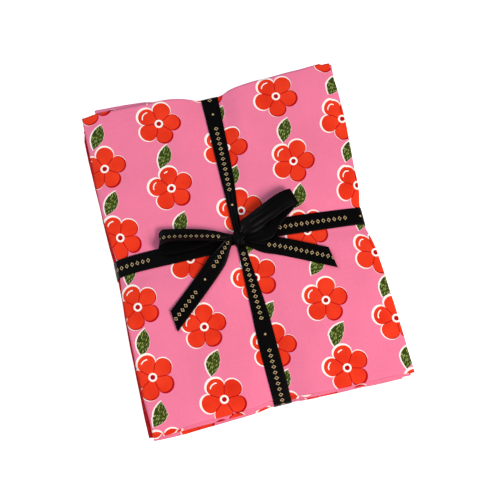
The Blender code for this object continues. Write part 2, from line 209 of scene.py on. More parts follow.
# The bow, in millimetres. A loop's row: along the line from the knot to where it reaches, height
# above the cloth under the knot, aside of that line towards the back, half width, roll in degrees,
# depth of the pleats, how far the back edge is bent up in degrees (the front edge as far up).
KNOT = (-0.0020, 0.0034)
LOOP_REACH = {"bow_loop_left": (-0.0585, 0.0118), "bow_loop_right": (0.0417, 0.0232)}
LOOP_ROWS = {
    "bow_loop_left": (
        (3.5, 4.9, 0.8, 2.1, 0, 0.9, 0),
        (8.0, 6.2, 1.4, 2.4, -8, 0.9, 6),
        (15, 7.1, 2.0, 4.4, -24, 0.7, 20),
        (25, 7.4, 2.9, 5.9, -34, 0.35, 30),
        (38, 7.3, 3.9, 6.35, -35, 0.1, 34),
        (48, 7.0, 4.6, 6.35, -32, 0.03, 30),
        (53.8, 6.2, 4.3, 6.35, -20, 0.0, 16),
        (55.5, 4.8, 2.6, 6.35, -6, 0.0, 4),
        (55.2, 3.4, 0.6, 6.35, 0, 0.0, 0),
        (49, 2.7, -0.5, 6.35, 0, 0.0, 0),
        (41, 2.6, 0.2, 6.35, 0, 0.0, 0),
        (33, 2.7, 1.4, 6.2, 0, 0.1, 0),
        (26, 2.9, 2.2, 5.4, 0, 0.3, 0),
        (17, 3.4, 2.4, 3.6, 0, 0.6, 0),
        (9.0, 3.8, 1.8, 2.4, 0, 0.8, 0),
        (3.5, 3.6, 0.8, 2.0, 0, 0.8, 0),
    ),
    "bow_loop_right": (
        (3.5, 4.9, 1.6, 2.8, 0, 1.1, 0),
        (7.5, 6.4, 3.8, 5.0, 2, 1.2, -10),
        (14, 7.6, 3.0, 5.8, 4, 0.9, -14),
        (27, 8.7, 2.2, 6.35, 6, 0.35, -10),
        (38, 8.7, 2.0, 6.35, 6, 0.1, -8),
        (45, 8.0, 0.9, 6.35, 10, 0.0, -8),
        (48.6, 6.6, 0.1, 6.0, 10, 0.0, -6),
        (48.2, 5.2, 0.0, 6.0, 6, 0.0, 0),
        (41, 4.2, -0.9, 6.3, 0, 0.0, 0),
        (34, 4.2, -2.2, 6.35, 0, 0.1, 0),
        (26, 4.4, -4.8, 6.35, 0, 0.25, 0),
        (19, 4.8, -7.6, 6.35, 2, 0.5, 0),
        (11.5, 4.9, -6.4, 5.6, 2, 0.8, 0),
        (6.5, 4.6, -3.6, 4.2, 0, 1.0, 0),
        (3.5, 3.9, -1.0, 2.8, 0, 0.9, 0),
    ),
}
# A ribbon's print, in millimetres along it: the middle of a run, from one run to the next, and where
# the print begins and ends
PRINT_RUNS = {
    "satin_band_lengthwise": (58.6, 69.6, 20, 506),
    "satin_band_crosswise": (51.7, 69.5, 20, 358),
    "satin_loop_left": (34.0, 68.0, 0, 200),
    "satin_end_left": (2.0, 68.0, 0, 200),
    "satin_end_right": (41.0, 68.0, 14, 200),
}
PRINT_REPEAT = 0.068
NO_PRINT = (0, PRINT_REPEAT / MM, 0, 0)
# A free end's row: x, y, extra height over what it lies on, depth of the pleats
END_ROWS = {
    "ribbon_end_left": (
        (-5.5, 4.6, 1.6, 1.0), (-9.5, 3.3, 1.2, 0.9), (-18.5, -6.0, 0.5, 0.5),
        (-29.3, -16.8, 0.5, 0.25), (-44, -29.9, 0.3, 0.0), (-59.0, -43.0, 0.9, 0.0),
    ),
    "ribbon_end_right": (
        (0.4, 0.6, 1.2, 1.0), (3.6, -0.7, 1.0, 1.0), (12, -4.1, 0.6, 0.6),
        (22.0, -7.2, 0.3, 0.3), (40, -15.6, 0.5, 0.0), (58.7, -24.8, 0.9, 0.0),
    ),
}
END_SLANT = {"ribbon_end_left": 0.0044, "ribbon_end_right": -0.0046}
SLANT_LENGTH = 0.0120  # before the cut, over which the end takes up its slant
END_ROOT = 0.0028  # half width at the knot
END_SPREAD = (0.0052, 0.0230)  # distances from the knot between which an end widens
# The lengths that cross over the knot: place beside it, heading in radians, reach, height, half
# width, phase of the folds, tilt
KNOT_WRAPS = (
    ("satin_knot_core", (0.0006, 0.0), 0.10, 0.0050, 0.0058, 0.0050, 0.4, 0.0),
    ("satin_knot_strap", (-0.0010, 0.0), 1.66, 0.0058, 0.0070, 0.0034, 2.0, 0.0002),
)
KNOT_RISE = 0.0009  # of the middle of its arches over the cloth
# How the ribbons round the stack are laid
BESIDE = 0.0008  # how far beside a ribbon the cloth still carries it
PASSED_HALF, PASS_HALF = 0.0060, 0.0068  # the lengthwise one where the other passes under it
KNOT_HALF, KNOT_LAP = 0.0040, 0.0015  # where the path leaves the cloth, and how far into the knot it goes
BAND_STEP = 0.0011
GATHER = 0.0011  # depth of the pleats where the ribbon is narrowest
RISE, RISE_LENGTH = 0.00004, 0.0110
STEP_LENGTH, STEP_SPARE = 0.0012, 0.0001  # of what lies over a ribbon's edge
# Phase of each gathered ribbon's pleats
PLEAT_PHASE = {"bow_loop_left": 0.6, "bow_loop_right": 2.4, "ribbon_end_left": 1.4, "ribbon_end_right": 3.0}
SATIN = "black polyester satin ribbon"
ACROSS = np.linspace(-1, 1, 17)  # stations across a ribbon


# Numbers and curves


def linear(colour):
    """An sRGB hex colour as linear red, green and blue, and an alpha of 1.

    A channel c becomes c / 12.92 below 0.04045, and above it (c + 0.055) / 1.055 to the power 2.4.
    """
    channel = np.array([int(colour[k : k + 2], 16) for k in (1, 3, 5)]) / 255
    channel = np.where(channel < 0.04045, channel / 12.92, ((channel + 0.055) / 1.055) ** 2.4)
    return (*channel.tolist(), 1.0)


def through(rows, steps=12):
    """A Catmull-Rom curve through the rows of a table.

    Each span is the cubic that meets its two rows, with half the chord between a row's neighbours
    as the slope there.
    """
    rows = np.asarray(rows, float)
    padded = np.vstack((2 * rows[0] - rows[1], rows, 2 * rows[-1] - rows[-2]))
    a, b, c, d = (padded[k : len(padded) - 3 + k, None] for k in range(4))
    t = (np.arange(steps) / steps)[:, None]
    spans = b + t / 2 * (c - a + t * (2 * a - 5 * b + 4 * c - d + t * (3 * (b - c) + d - a)))
    return np.vstack((spans.reshape(-1, rows.shape[1]), rows[-1]))


def unit(vectors):
    """Vectors over their lengths."""
    return vectors / np.linalg.norm(vectors, axis=-1, keepdims=True)


def turned_left(vectors):
    """Flat vectors turned left by a quarter: x, y becomes -y, x."""
    return vectors[..., ::-1] * (-1, 1)


def together(*values):
    """Arrays spread to one shape, as the coordinates of points."""
    return np.stack(np.broadcast_arrays(*values), axis=-1)


def lengths_along(path):
    """How far along a path each of its points lies."""
    return np.concatenate(((0,), np.cumsum(np.linalg.norm(np.diff(path, axis=0), axis=1))))


def evened(path, step):
    """The same path with points a step apart, by length along it, and those lengths."""
    length = lengths_along(path)
    even = np.linspace(0, length[-1], int(length[-1] / step) + 1)
    return np.stack([np.interp(even, length, values) for values in path.T], axis=1), even


def softened(values, passes):
    """Values averaged with their two neighbours, a quarter from each side, with the ends kept."""
    values = values.copy()
    for _ in range(passes):
        values[1:-1] = values[1:-1] / 2 + (values[:-2] + values[2:]) / 4
    return values


def crowded(count):
    """Stations from 0 to 1, closer together at both ends and in the middle, and less so if many.

    From -1 to 1 they are t - share sin(2 pi t) / 2 pi, for evenly spaced t.
    """
    share = 0.15 if count > 40 else 0.62
    t = np.linspace(-1, 1, count)
    return (1 + t - share * np.sin(2 * np.pi * t) / (2 * np.pi)) / 2


COURSES = [through(rows) * MM for rows in (CROSSWISE_ROWS, LENGTHWISE_ROWS)]
DROP, LIFT = (through(rows) * (1, MM) for rows in (TOP_DROP, BOTTOM_LIFT))
PULL_CURVES = [(axis, sign, pull * MM, through(rows) * (MM, 1)) for axis, sign, pull, rows in PULLS]


def course(axis, along):
    """How far aside the ribbon along this axis lies, and half its width."""
    places, asides, halves = COURSES[axis].T
    return np.interp(along, places, asides), np.interp(along, places, halves)


# The squeeze of the tie


def ripples(x, y):
    """Slow waves and listed creases of the top.

    A wave is height times the sine of its direction's distance. A crease is height times
    exp(-(distance from its line / half width) squared). It fades likewise, over 0.18 of its length,
    from where it is 0.35 of its length away from its middle.
    """
    total = np.zeros(np.shape(x))
    for height, wavelength, direction, phase in WAVES:
        turn = np.radians(direction)
        along = (x * np.cos(turn) + y * np.sin(turn)) / (wavelength * MM)
        total = total + height * MM * np.sin(2 * np.pi * along + phase)
    for x0, y0, x1, y1, half, height in CREASES:
        start, run = np.array((x0, y0)) * MM, np.array((x1 - x0, y1 - y0)) * MM
        length = np.linalg.norm(run)
        t = ((x - start[0]) * run[0] + (y - start[1]) * run[1]) / length**2
        away = ((x - start[0]) * run[1] - (y - start[1]) * run[0]) / length
        taper = np.exp(-((np.maximum(np.abs(t - 0.5) - 0.35, 0) / 0.18) ** 2))
        total = total + height * MM * taper * np.exp(-((away / (half * MM)) ** 2))
    return total


def pressed(x, y, z):
    """Moves points of the flat stack to where they lie once the ribbon is tied.

    Beside a ribbon a trough keeps 1 / (1 + (distance past its edge / FALL) squared) to the power 1.2
    of its depth. Two troughs a and b that cross make a + b - a b / middle depth. The top's edges
    slump by EDGE_SLUMP times the square of how far they are from shoulder to reach, and its ripples
    are a tenth as high in a trough. Heights between the pressed bottom and the pressed top stay in
    proportion. A side is pulled in by its pull, times the share left beside the ribbon, times how
    far out the point lies to the power 1.6, and near the top and bottom by CORNER_ROUND too, times
    how far out to the power 8. In the shuffle, a height z gains a sine of z itself, less steep than
    z, so that the order stays.
    """
    x, y, z = np.broadcast_arrays(np.asarray(x, float), y, z)
    plan = (x, y)
    beside, troughs, outward = [], [], []
    for axis in (0, 1):
        aside, half = course(axis, plan[axis])
        beside.append(plan[1 - axis] - aside)
        past = np.maximum(np.abs(beside[axis]) - half, 0) / FALL
        troughs.append((1 + past**2) ** -1.2)
        outward.append(np.abs(plan[axis] - TIE[axis]))
    drops, lifts = (
        [trough * np.interp(out / end, *curve.T) for trough, out, end in zip(troughs, outward, SHOULDER)]
        for curve in (DROP, LIFT)
    )
    drop = drops[0] + drops[1] - drops[0] * drops[1] / (TOP_DROP[1][1] * MM)
    lift = lifts[0] + lifts[1] - lifts[0] * lifts[1] / (BOTTOM_LIFT[1][1] * MM)
    side, end = (np.clip((out - a) / (b - a), 0, 1.2) ** 2 for out, a, b in zip(outward, SHOULDER, REACH))
    slump = EDGE_SLUMP * (side + end - side * end)
    loose = 1 - 0.9 * np.maximum(*troughs)
    top = STACK - np.maximum(drop, slump) + ripples(x, y) * loose
    high, wide, long = SHUFFLE_LENGTHS
    phase = 2 * np.pi * z / high + x / wide + SHUFFLE_SWING * np.sin(y / long)
    shuffle = SHUFFLE * np.sin(phase) * np.sin(np.pi * np.clip(z / STACK, 0, 1))
    moved = [x.copy(), y.copy()]
    for axis, sign, pull, curve in PULL_CURVES:
        far = sign * (plan[axis] - TIE[axis]) - TROUGH_END
        far = np.maximum(far / (REACH[axis] - TROUGH_END), 0)
        share = np.interp(beside[axis], *curve.T)
        near_corner = np.clip(1 - np.minimum(z, STACK - z) / CORNER_HEIGHT, 0, 1) ** 2
        rounding = CORNER_ROUND * near_corner * troughs[axis] * far**8
        moved[axis] -= sign * (pull * share * far**1.6 + rounding)
    return together(*moved, lift + (z + shuffle) / STACK * (top - lift))


def cloth_top(x, y):
    """Height of the tied stack's top."""
    return pressed(x, y, STACK)[..., 2]


# Meshes


def mesh_piece(name, parts, look):
    """An object from closed parts: over, under, the UV of both, where over is plain, and the faces.

    A part's faces are three groups: those over, those under and the rim, which alone is flat.
    """
    points, uvs, sides, polygons, flags = [], [], [], [], []
    used = 0
    for over, under, uv, plain, faces in parts:
        points += [over.reshape(-1, 3), under.reshape(-1, 3)]
        uvs += [uv.reshape(-1, 2)] * 2
        sides += [plain.ravel(), np.ones(plain.size)]
        polygons += [face for group in faces for face in (group + used).tolist()]
        flags += [np.full(len(group), smooth) for group, smooth in zip(faces, (True, True, False))]
        used += 2 * plain.size
    data = bpy.data.meshes.new(name)
    data.from_pydata(np.concatenate(points).tolist(), [], polygons)
    data.polygons.foreach_set("use_smooth", np.concatenate(flags))
    corners = np.empty(len(data.loops), np.int32)
    data.loops.foreach_get("vertex_index", corners)
    data.uv_layers.new(name="cut").data.foreach_set("uv", np.concatenate(uvs)[corners].ravel())
    wrong = data.attributes.new("wrong_side", "FLOAT", "POINT")
    wrong.data.foreach_set("value", np.concatenate(sides))
    data.materials.append(look)
    data.update()
    piece = bpy.data.objects.new(name, data)
    bpy.context.scene.collection.objects.link(piece)
    return piece


def cell_normals(grid):
    """A normal for each cell of a grid: its step down a column crossed with its step along a row."""
    corner = grid[:-1, :-1]
    return np.cross(grid[1:, :-1] - corner, grid[:-1, 1:] - corner)


def sheet_faces(over, under):
    """Faces of a closed sheet between two grids: both sides, then the rim, all facing outwards."""
    rows, columns = over.shape[:2]
    index = np.arange(rows * columns).reshape(rows, columns)
    face = np.stack((index[:-1, :-1], index[1:, :-1], index[1:, 1:], index[:-1, 1:]), -1).reshape(-1, 4)
    border = np.concatenate((index[:-1, 0], index[-1, :-1], index[:0:-1, -1], index[0, :0:-1]))
    ahead = np.roll(border, -1)
    back = rows * columns
    rim = np.stack((ahead, border, border + back, ahead + back), -1)
    if np.sum(cell_normals(over) * (over - under)[:-1, :-1]) < 0:
        return [face[:, ::-1], face + back, rim[:, ::-1]]
    return [face, face[:, ::-1] + back, rim]


def prism_faces(over, under):
    """Faces of closed three-sided prisms between two lists of triangles, all facing outwards."""
    outer = np.arange(3 * len(over)).reshape(-1, 3)
    inner = outer + 3 * len(over)
    normal = np.cross(over[:, 1] - over[:, 0], over[:, 2] - over[:, 0])
    if np.sum(normal * (over - under)[:, 0]) < 0:
        outer, inner = outer[:, ::-1], inner[:, ::-1]
    rim = np.stack((np.roll(outer, -1, axis=1), outer, inner, np.roll(inner, -1, axis=1)), -1)
    return [outer, inner[:, ::-1], rim.reshape(-1, 4)]


def strip_piece(name, grid, thickness, uv):
    """A ribbon of this thickness on a grid of points, printed on its upper side where the table says.

    Its two sides lie half the thickness off the grid, along the normal that its slopes cross to. The
    UV along it is stretched so that one repeat of its print is PRINT_REPEAT.
    """
    normal = unit(np.cross(np.gradient(grid, axis=0), np.gradient(grid, axis=1)))
    over, under = (grid + sign * thickness / 2 * normal for sign in (1, -1))
    middle, repeat, first, last = np.multiply(PRINT_RUNS.get(name, NO_PRINT), MM)
    plain = (uv[..., 0] < first) | (uv[..., 0] > last)
    uv = (uv - (middle, 0)) * (PRINT_REPEAT / repeat, 1)
    part = (over, under, uv, plain.astype(float), sheet_faces(over, under))
    return mesh_piece(name, [part], bpy.data.materials[SATIN])


# The fat quarters


def wander(s, phases):
    """An edge that isn't quite straight: a sum of three sines of the distance along it."""
    total = 0
    for (length, height), phase in zip(WANDER, phases):
        total = total + height * MM * np.sin(2 * np.pi * s / (length * MM) + phase)
    return total


def strayed(number, edge, places):
    """How far an edge placed by hand strays at each place, on the curve through its rows."""
    rows = STRAYS.get((number, edge), ((0, 0), (1, 0)))
    return np.interp(places, *(through(rows) * MM).T)


def tooth_depth(number, cloth):
    """How deep the ends of this fat quarter are pinked."""
    return 0 if number in UNPINKED else cloth.tooth_depth


def cut_plan(number, cloth):
    """Lengths of the three runs across a fat quarter, where each starts, how long a ply is, and
    where the runs' ends lie."""
    tooth = tooth_depth(number, cloth)
    reach = FOLD + PLY_PITCH / 2 + cloth.thickness / 2
    top_in, bottom_in = (MM * value + tooth for value in LAY_ROWS[number - 1][3:5])
    runs = WIDTH - np.array((top_in + reach, 2 * reach, bottom_in + reach))
    starts = np.concatenate(((0,), np.cumsum(runs + np.pi * FOLD)[:2]))
    half = WIDTH / 2
    edges = (top_in - half, half - reach, reach - half, half - bottom_in)
    return runs, starts, LENGTH - cloth.thickness / 2 - PLY_PITCH / 2, edges


def folded(a, b, radius, number, cloth):
    """Where the point a along and b down the cut lies in the flat stack.

    Along the cut, the pair of plies runs right, turns down half a circle of radius FOLD, runs left,
    turns down again and runs right. Its normal has turned by the angle of both half circles. Down
    the cut, a ply runs to the front, turns half a circle of `radius` round the middle of the pair,
    and runs back. The point is the middle line plus radius times cosine of that turn along the
    normal, and minus radius times its sine in Y. The edges and folds that the runs hang between
    wander and stray, and their shares are the distances along the run. What reaches out past the
    left fold under it droops by up to DROOP. What reaches out past the back by more than
    TURN_UP_START turns up by TURN_UP of that.
    """
    right, back, turn = (MM * value for value in LAY_ROWS[number - 1][:3])
    runs, starts, down, edges = cut_plan(number, cloth)
    phase = np.random.default_rng(number).uniform(0, 2 * np.pi, (9, 3))
    angle_right = np.clip((a - runs[0]) / FOLD, 0, np.pi)
    angle_left = np.clip((a - starts[1] - runs[1]) / FOLD, 0, np.pi)
    sideways = FOLD * (np.sin(angle_right) - np.sin(angle_left))
    shares = (
        np.minimum(a / runs[0], 1),
        np.clip((a - starts[1]) / runs[1], 0, 1),
        np.maximum((a - starts[2]) / runs[2], 0),
    )
    bend = np.clip((b - down) / (PLY_PITCH / 2), 0, np.pi)
    turned_at = down + np.pi * PLY_PITCH / 2

    def between(ends):
        three = [ends[k] + shares[k] * (ends[k + 1] - ends[k]) for k in range(3)]
        return np.select([a < starts[1], a < starts[2]], three[:2], three[2])

    lean = back + turn / LENGTH * (right + between(edges) + sideways)
    slow = 0 if number in PLACED_BY_HAND else SLOW_STRAY
    in_front = (PLY_PITCH + cloth.thickness - LENGTH) / 2
    places = {"front": in_front, "upper back": LENGTH / 2, "lower back": LENGTH / 2}
    ends = []
    for (name, place), slow_phase, phases in zip(places.items(), phase[8], phase[4:]):
        stray = slow * np.sin(a / SLOW_LENGTH + slow_phase) + strayed(number, name, a)
        ends.append(lean + place + stray + wander(a, phases))
    front, upper_back, lower_back = ends
    upper = upper_back + np.minimum(b / down, 1) * (front - upper_back)
    lower = front + np.maximum((b - turned_at) / down, 0) * (lower_back - front)
    y = np.where(b < turned_at, upper, lower)
    astray = []
    for name, place, phases in zip(("left raw", "right fold", "left fold", "right raw"), edges, phase):
        astray.append(place + strayed(number, name, y) + wander(y, phases))
    x = between(astray) + sideways
    past_fold = np.where(a < starts[1], np.maximum(astray[2] - FOLD - x, 0), 0)
    x = x + right - turn / LENGTH * y
    height = TOP_PAIR - FOLD * (2 - np.cos(angle_right) - np.cos(angle_left))
    height = height - DROOP * (1 - np.exp(-((past_fold / DROOP_SPREAD) ** 2)))
    height = height + TURN_UP * np.maximum(y - lean - LENGTH / 2 - TURN_UP_START, 0)
    from_raw = np.minimum(np.minimum(b, turned_at + down - b), np.minimum(a, starts[2] + runs[2] - a))
    flutter = FLUTTER * np.exp(-np.maximum(from_raw, 0) / FLUTTER_FADE)
    flutter = flutter * np.sin((x + y) / FLUTTER_LENGTH + phase[7, 0] + np.where(b < turned_at, 0, 2.1))
    normal_turn = angle_right - angle_left
    off = radius * np.cos(bend) + flutter
    z = (number - 1) * PITCH + height + off * np.cos(normal_turn)
    return together(x + off * np.sin(normal_turn), y - radius * np.sin(bend), z)


def fat_quarter(number, cloth, look):
    """One cut of cotton, folded in half and then in three, with pinked ends.

    Its pinking is one prism a tooth, from two points on the raw end to a tip beyond it. The top
    one has more points on the ply that shows.
    """
    runs, starts, down, _ = cut_plan(number, cloth)
    counts = FINE_COUNTS if number == len(LAY_ROWS) else COUNTS
    arc = np.linspace(0, np.pi * FOLD, 9)[1:-1]
    parts = []
    for start, run, count in zip(starts, runs, (counts[0], COUNTS[0], COUNTS[0])):
        parts += [start + run * crowded(count), start + run + arc]
    a = np.concatenate(parts[:-1])
    arc = np.linspace(0, np.pi * PLY_PITCH / 2, 7)[1:-1]
    turned_at = down + np.pi * PLY_PITCH / 2
    b = np.concatenate((down * crowded(counts[1]), down + arc, turned_at + down * crowded(COUNTS[1])))

    def placed(a, b):
        """Both sides of the cloth over a grid of places on the cut, and its UV."""
        for sign in (1, -1):
            radius = PLY_PITCH / 2 + sign * cloth.thickness / 2
            flat = folded(a[:, None], b[None, :], radius, number, cloth)
            yield pressed(*np.moveaxis(flat, -1, 0))
        yield together(a[:, None], CUT_WIDTH - b[None, :])

    over, under, uv = placed(a, b)
    parts = [(over, under, uv, np.zeros(over.shape[:2]), sheet_faces(over, under))]
    tooth, pitch, total = tooth_depth(number, cloth), cloth.tooth_pitch, starts[2] + runs[2]
    half_steps = np.arange(0, down - pitch, pitch / 2)
    places = np.concatenate((half_steps, turned_at + half_steps))
    for raw, tip in ((0.0, -tooth), (total, total + tooth)) if tooth else ():
        grids = placed(np.array((raw, tip)), places)
        over, under, uv = (np.stack((g[0, :-2:2], g[1, 1:-1:2], g[0, 2::2]), axis=1) for g in grids)
        keep = np.linalg.norm(over[:, 2] - over[:, 0], axis=-1) < 1.5 * pitch
        over, under, uv = over[keep], under[keep], uv[keep]
        parts.append((over, under, uv, np.zeros(over.shape[:2]), prism_faces(over, under)))
    return mesh_piece(f"folded_fat_quarter_{number:02d}", parts, look)


# The ribbon


def pleats(depth, phase):
    """Lengthwise folds of a gathered ribbon: a cosine of two and a half waves across it and one of
    1.3 waves, less 0.45 times t to the power 4, which lets both edges dip."""
    angle = np.pi * ACROSS
    wave = 0.45 * np.cos(2.5 * angle + phase) + 0.3 * np.cos(1.3 * angle - 0.6 * phase)
    return depth[:, None] * (wave - 0.45 * ACROSS**4)


def tied_path(axis, ribbon):
    """The middle line of a ribbon from the knot, round the stack and back, in the section along it.

    It is the convex outline of the cloth there: in each direction the furthest point of the cloth,
    moved on by the clearance.
    """
    cloth = []
    for number in range(1, len(LAY_ROWS) + 1):
        vertices = bpy.data.objects[f"folded_fat_quarter_{number:02d}"].data.vertices
        points = np.empty(3 * len(vertices))
        vertices.foreach_get("co", points)
        cloth.append(points.reshape(-1, 3))
    cloth = np.concatenate(cloth)
    aside, half = course(axis, cloth[:, axis])
    near = np.abs(cloth[:, 1 - axis] - aside) < np.maximum(half, RIBBON / 2) + BESIDE
    section = cloth[near][:, (axis, 2)]
    if axis == 0:  # below the stack it passes under the ribbon that runs lengthwise
        across, _ = course(1, TIE[1])
        lowest = section[np.abs(section[:, 0] - across) < PASSED_HALF][:, 1].min()
        under = lowest - ribbon.clearance - ribbon.thickness
        section = np.vstack((section, [(across + sign * PASS_HALF, under) for sign in (-1, 1)]))
    angle = np.linspace(0, 2 * np.pi, 1441)
    outward = np.stack((np.sin(angle), np.cos(angle)), axis=1)
    clear = ribbon.clearance + ribbon.thickness / 2
    path = section[np.argmax(section @ outward.T, axis=0)] + clear * outward
    clockwise = np.arctan2(path[:, 0] - KNOT[axis], path[:, 1] - STACK / 2) % (2 * np.pi)
    path = path[np.argsort(clockwise)]
    path = path[(np.abs(path[:, 0] - KNOT[axis]) > KNOT_HALF) | (path[:, 1] < STACK / 2)]
    height = max(path[0, 1], path[-1, 1])
    return np.vstack(((KNOT[axis] + KNOT_LAP, height), path, (KNOT[axis] - KNOT_LAP, height)))


def ribbon_band(name, axis, ribbon):
    """A ribbon round the stack, carried along its path and laid aside as its rows say.

    Where it nears the knot it is narrower and gathered. All along it rises and sinks by a sine of
    height RISE.
    """
    path, length = evened(tied_path(axis, ribbon), BAND_STEP)
    path = softened(path, 3)
    aside, half = course(axis, path[:, 0])
    aside = softened(aside, 8)[:, None]
    half = softened(np.where(path[:, 1] > STACK / 2, half, RIBBON / 2), 4)[:, None]
    normal = turned_left(unit(np.gradient(path, axis=0)))
    gathered = GATHER * (1 - half / (RIBBON / 2))
    lift = pleats(gathered[:, 0], 0.8 + 1.1 * axis) + 0.8 * gathered
    lift = lift + RISE * np.sin(length / RISE_LENGTH)[:, None]
    along, up = (path[:, None] + lift[..., None] * normal[:, None]).transpose(2, 0, 1)
    sideways = aside + ACROSS * half
    uv = together(length[:, None], ACROSS * half)
    if axis == 0:
        grid = together(along, sideways, up)
    else:
        grid, uv = together(sideways, along, up)[:, ::-1], uv[:, ::-1]
    return strip_piece(name, grid, ribbon.thickness, uv), length[-1]


def knot_base():
    """Height of the cloth under the knot."""
    return float(cloth_top(*KNOT))


def bow_loop(node, ribbon):
    """A loop of the bow: a ribbon carried along the curve through its rows.

    Across, it is an arc of half width times sin(c t) / c sideways and (1 - cos(c t)) / c out, where c
    is the bend of its edges (never quite 0), turned about the curve by the row's roll. The pleats
    come on top.
    """
    axis = unit(np.subtract(LOOP_REACH[node], KNOT))
    towards = np.sign(axis[0])
    aside_axis = turned_left(axis) * towards
    along, height, aside, half, roll, depth, bend = through(LOOP_ROWS[node], 14).T
    plan = KNOT + MM * (along[:, None] * axis + aside[:, None] * aside_axis)
    middle = np.column_stack((plan, knot_base() + MM * height))
    sideways = np.tile((*aside_axis, 0.0), (len(middle), 1))
    normal = unit(np.cross(unit(np.gradient(middle, axis=0)), sideways)) * towards  # out of the loop
    cosine, sine = (wave(np.radians(roll))[:, None] for wave in (np.cos, np.sin))
    sideways, normal = sideways * cosine + normal * sine, normal * cosine - sideways * sine
    half = MM * half[:, None]
    bend = np.radians(np.where(np.abs(bend) < 0.01, 0.01, bend))[:, None]
    width = half * np.sin(bend * ACROSS) / bend
    lift = pleats(MM * depth, PLEAT_PHASE[node]) + half * (1 - np.cos(bend * ACROSS)) / bend
    grid = middle[:, None] + width[..., None] * sideways[:, None] + lift[..., None] * normal[:, None]
    length = lengths_along(middle)
    uv = together(length[:, None], half * ACROSS)
    if np.sum(cell_normals(grid) * normal[:-1, None]) < 0:
        grid, uv = grid[:, ::-1], uv[:, ::-1]
    return strip_piece(node.replace("bow_", "satin_"), grid, ribbon.thickness, uv), length[-1]


def carried(x, y, ribbon):
    """Height of the cloth, or of a ribbon round it, with a soft step at the ribbon's edges."""
    on_ribbon = np.zeros(np.shape(x))
    for axis, (along, across) in enumerate(((x, y), (y, x))):
        aside, half = course(axis, along)
        inside = np.clip((half + STEP_LENGTH - np.abs(across - aside)) / STEP_LENGTH, 0, 1)
        on_ribbon = np.maximum(on_ribbon, inside)
    return cloth_top(x, y) + on_ribbon * (ribbon.clearance + ribbon.thickness + STEP_SPARE)


def ribbon_end(node, ribbon):
    """A free end: out of the knot, over the ribbons that meet there and down onto the cloth.

    Its middle is the curve through its rows, laid on the highest point under its width and 5% more.
    Near the cut each point slips along by t times the slant.
    """
    x, y, above, depth = through(END_ROWS[node], 14).T
    plan = np.stack((x, y), axis=1) * MM
    tangent = unit(np.gradient(plan, axis=0))
    aside = turned_left(tangent)[:, None]
    distance = np.linalg.norm(plan - KNOT, axis=1)
    half = np.interp(distance, END_SPREAD, (0, 1))
    half = (END_ROOT + (RIBBON / 2 - END_ROOT) * half * half * (3 - 2 * half))[:, None]
    under = plan[:, None] + 1.05 * (ACROSS * half)[..., None] * aside
    ground = carried(under[..., 0], under[..., 1], ribbon).max(axis=1)
    spine = np.maximum.reduce([np.roll(ground, k) for k in (-2, -1, 0, 1, 2)])
    spine[:3], spine[-3:] = spine[3], spine[-4]
    spine = softened(spine, 12) + ribbon.clearance + ribbon.thickness / 2 + MM * above
    cut = np.clip((distance - distance[-1] + SLANT_LENGTH) / SLANT_LENGTH, 0, 1) ** 2
    slip = END_SLANT[node] * ACROSS * cut[:, None]
    spread = plan[:, None] + (ACROSS * half)[..., None] * aside + slip[..., None] * tangent[:, None]
    up = spine[:, None] + pleats(MM * depth, PLEAT_PHASE[node])
    grid = np.concatenate((spread, up[..., None]), axis=-1)
    length = lengths_along(plan)
    uv = together(length[:, None] + slip, ACROSS * half)
    return strip_piece(node.replace("ribbon_end", "satin_end"), grid, ribbon.thickness, uv), length[-1]


def knot_wrap(name, place, heading, reach, height, half, phase, tilt, ribbon):
    """A short length of ribbon pulled tight over the knot.

    Along its heading it is an arch: reach times the sine of the turn, and height times its cosine.
    Across, it is half width times t, less 0.3 of that times the sine of the turn to the power 4. The
    arch shrinks by 0.26 times |t| to the power 2.4 towards its edges. Pleats run along it.
    """
    heading = np.array((np.cos(heading), np.sin(heading)))
    turn = np.radians(np.linspace(-112, 112, 49))
    t = np.linspace(-1, 1, 25)
    size = 1 - 0.26 * np.abs(t) ** 2.4
    folds = 0.00030 * np.cos(3.5 * np.pi * t + phase) + 0.00020 * np.cos(6.1 * np.pi * t - phase)
    forward = (reach * size + folds) * np.sin(turn)[:, None]
    up = (height * size + folds) * np.cos(turn)[:, None]
    width = half * t * (1 - 0.30 * np.sin(turn)[:, None] ** 4)
    plan = np.add(KNOT, place) + forward[..., None] * heading + width[..., None] * turned_left(heading)
    grid = np.concatenate((plan, (knot_base() + KNOT_RISE + up + tilt * t)[..., None]), axis=-1)
    length = (turn - turn[0]) * (reach + height) / 2
    return strip_piece(name, grid, ribbon.thickness, together(length[:, None], t * half)), length[-1]


# Materials


def fill(node, inputs):
    """Links a node's inputs to sockets or sets them to values, by place or by name."""
    for key, value in inputs.items():
        if isinstance(value, bpy.types.NodeSocket):
            node.id_data.links.new(value, node.inputs[key])
        else:
            node.inputs[key].default_value = value


def add_node(tree, kind, *places, named=None, output=0, **settings):
    """Adds a node with its settings and its inputs, and gives back an output.

    A second word of `kind` is the node's operation, as in "Math MULTIPLY".
    """
    kind, _, operation = kind.partition(" ")
    node = tree.nodes.new("ShaderNode" + kind)
    for key, value in settings.items():
        setattr(node, key, value)
    if operation:
        node.operation = operation
    fill(node, {**dict(enumerate(places)), **(named or {})})
    return node.outputs[output]


def new_material(name):
    """A material, its shader, and the function that adds nodes to its tree."""
    look = bpy.data.materials.new(name)
    look.use_nodes = True
    return look, look.node_tree.nodes["Principled BSDF"], partial(add_node, look.node_tree)


def painted(add, ground, *inks):
    """Lays inks over a ground one after another, each by its share."""
    for share, ink in inks:
        ground = add("Mix", output=2, data_type="RGBA", named={0: share, 6: ground, 7: ink})
    return ground


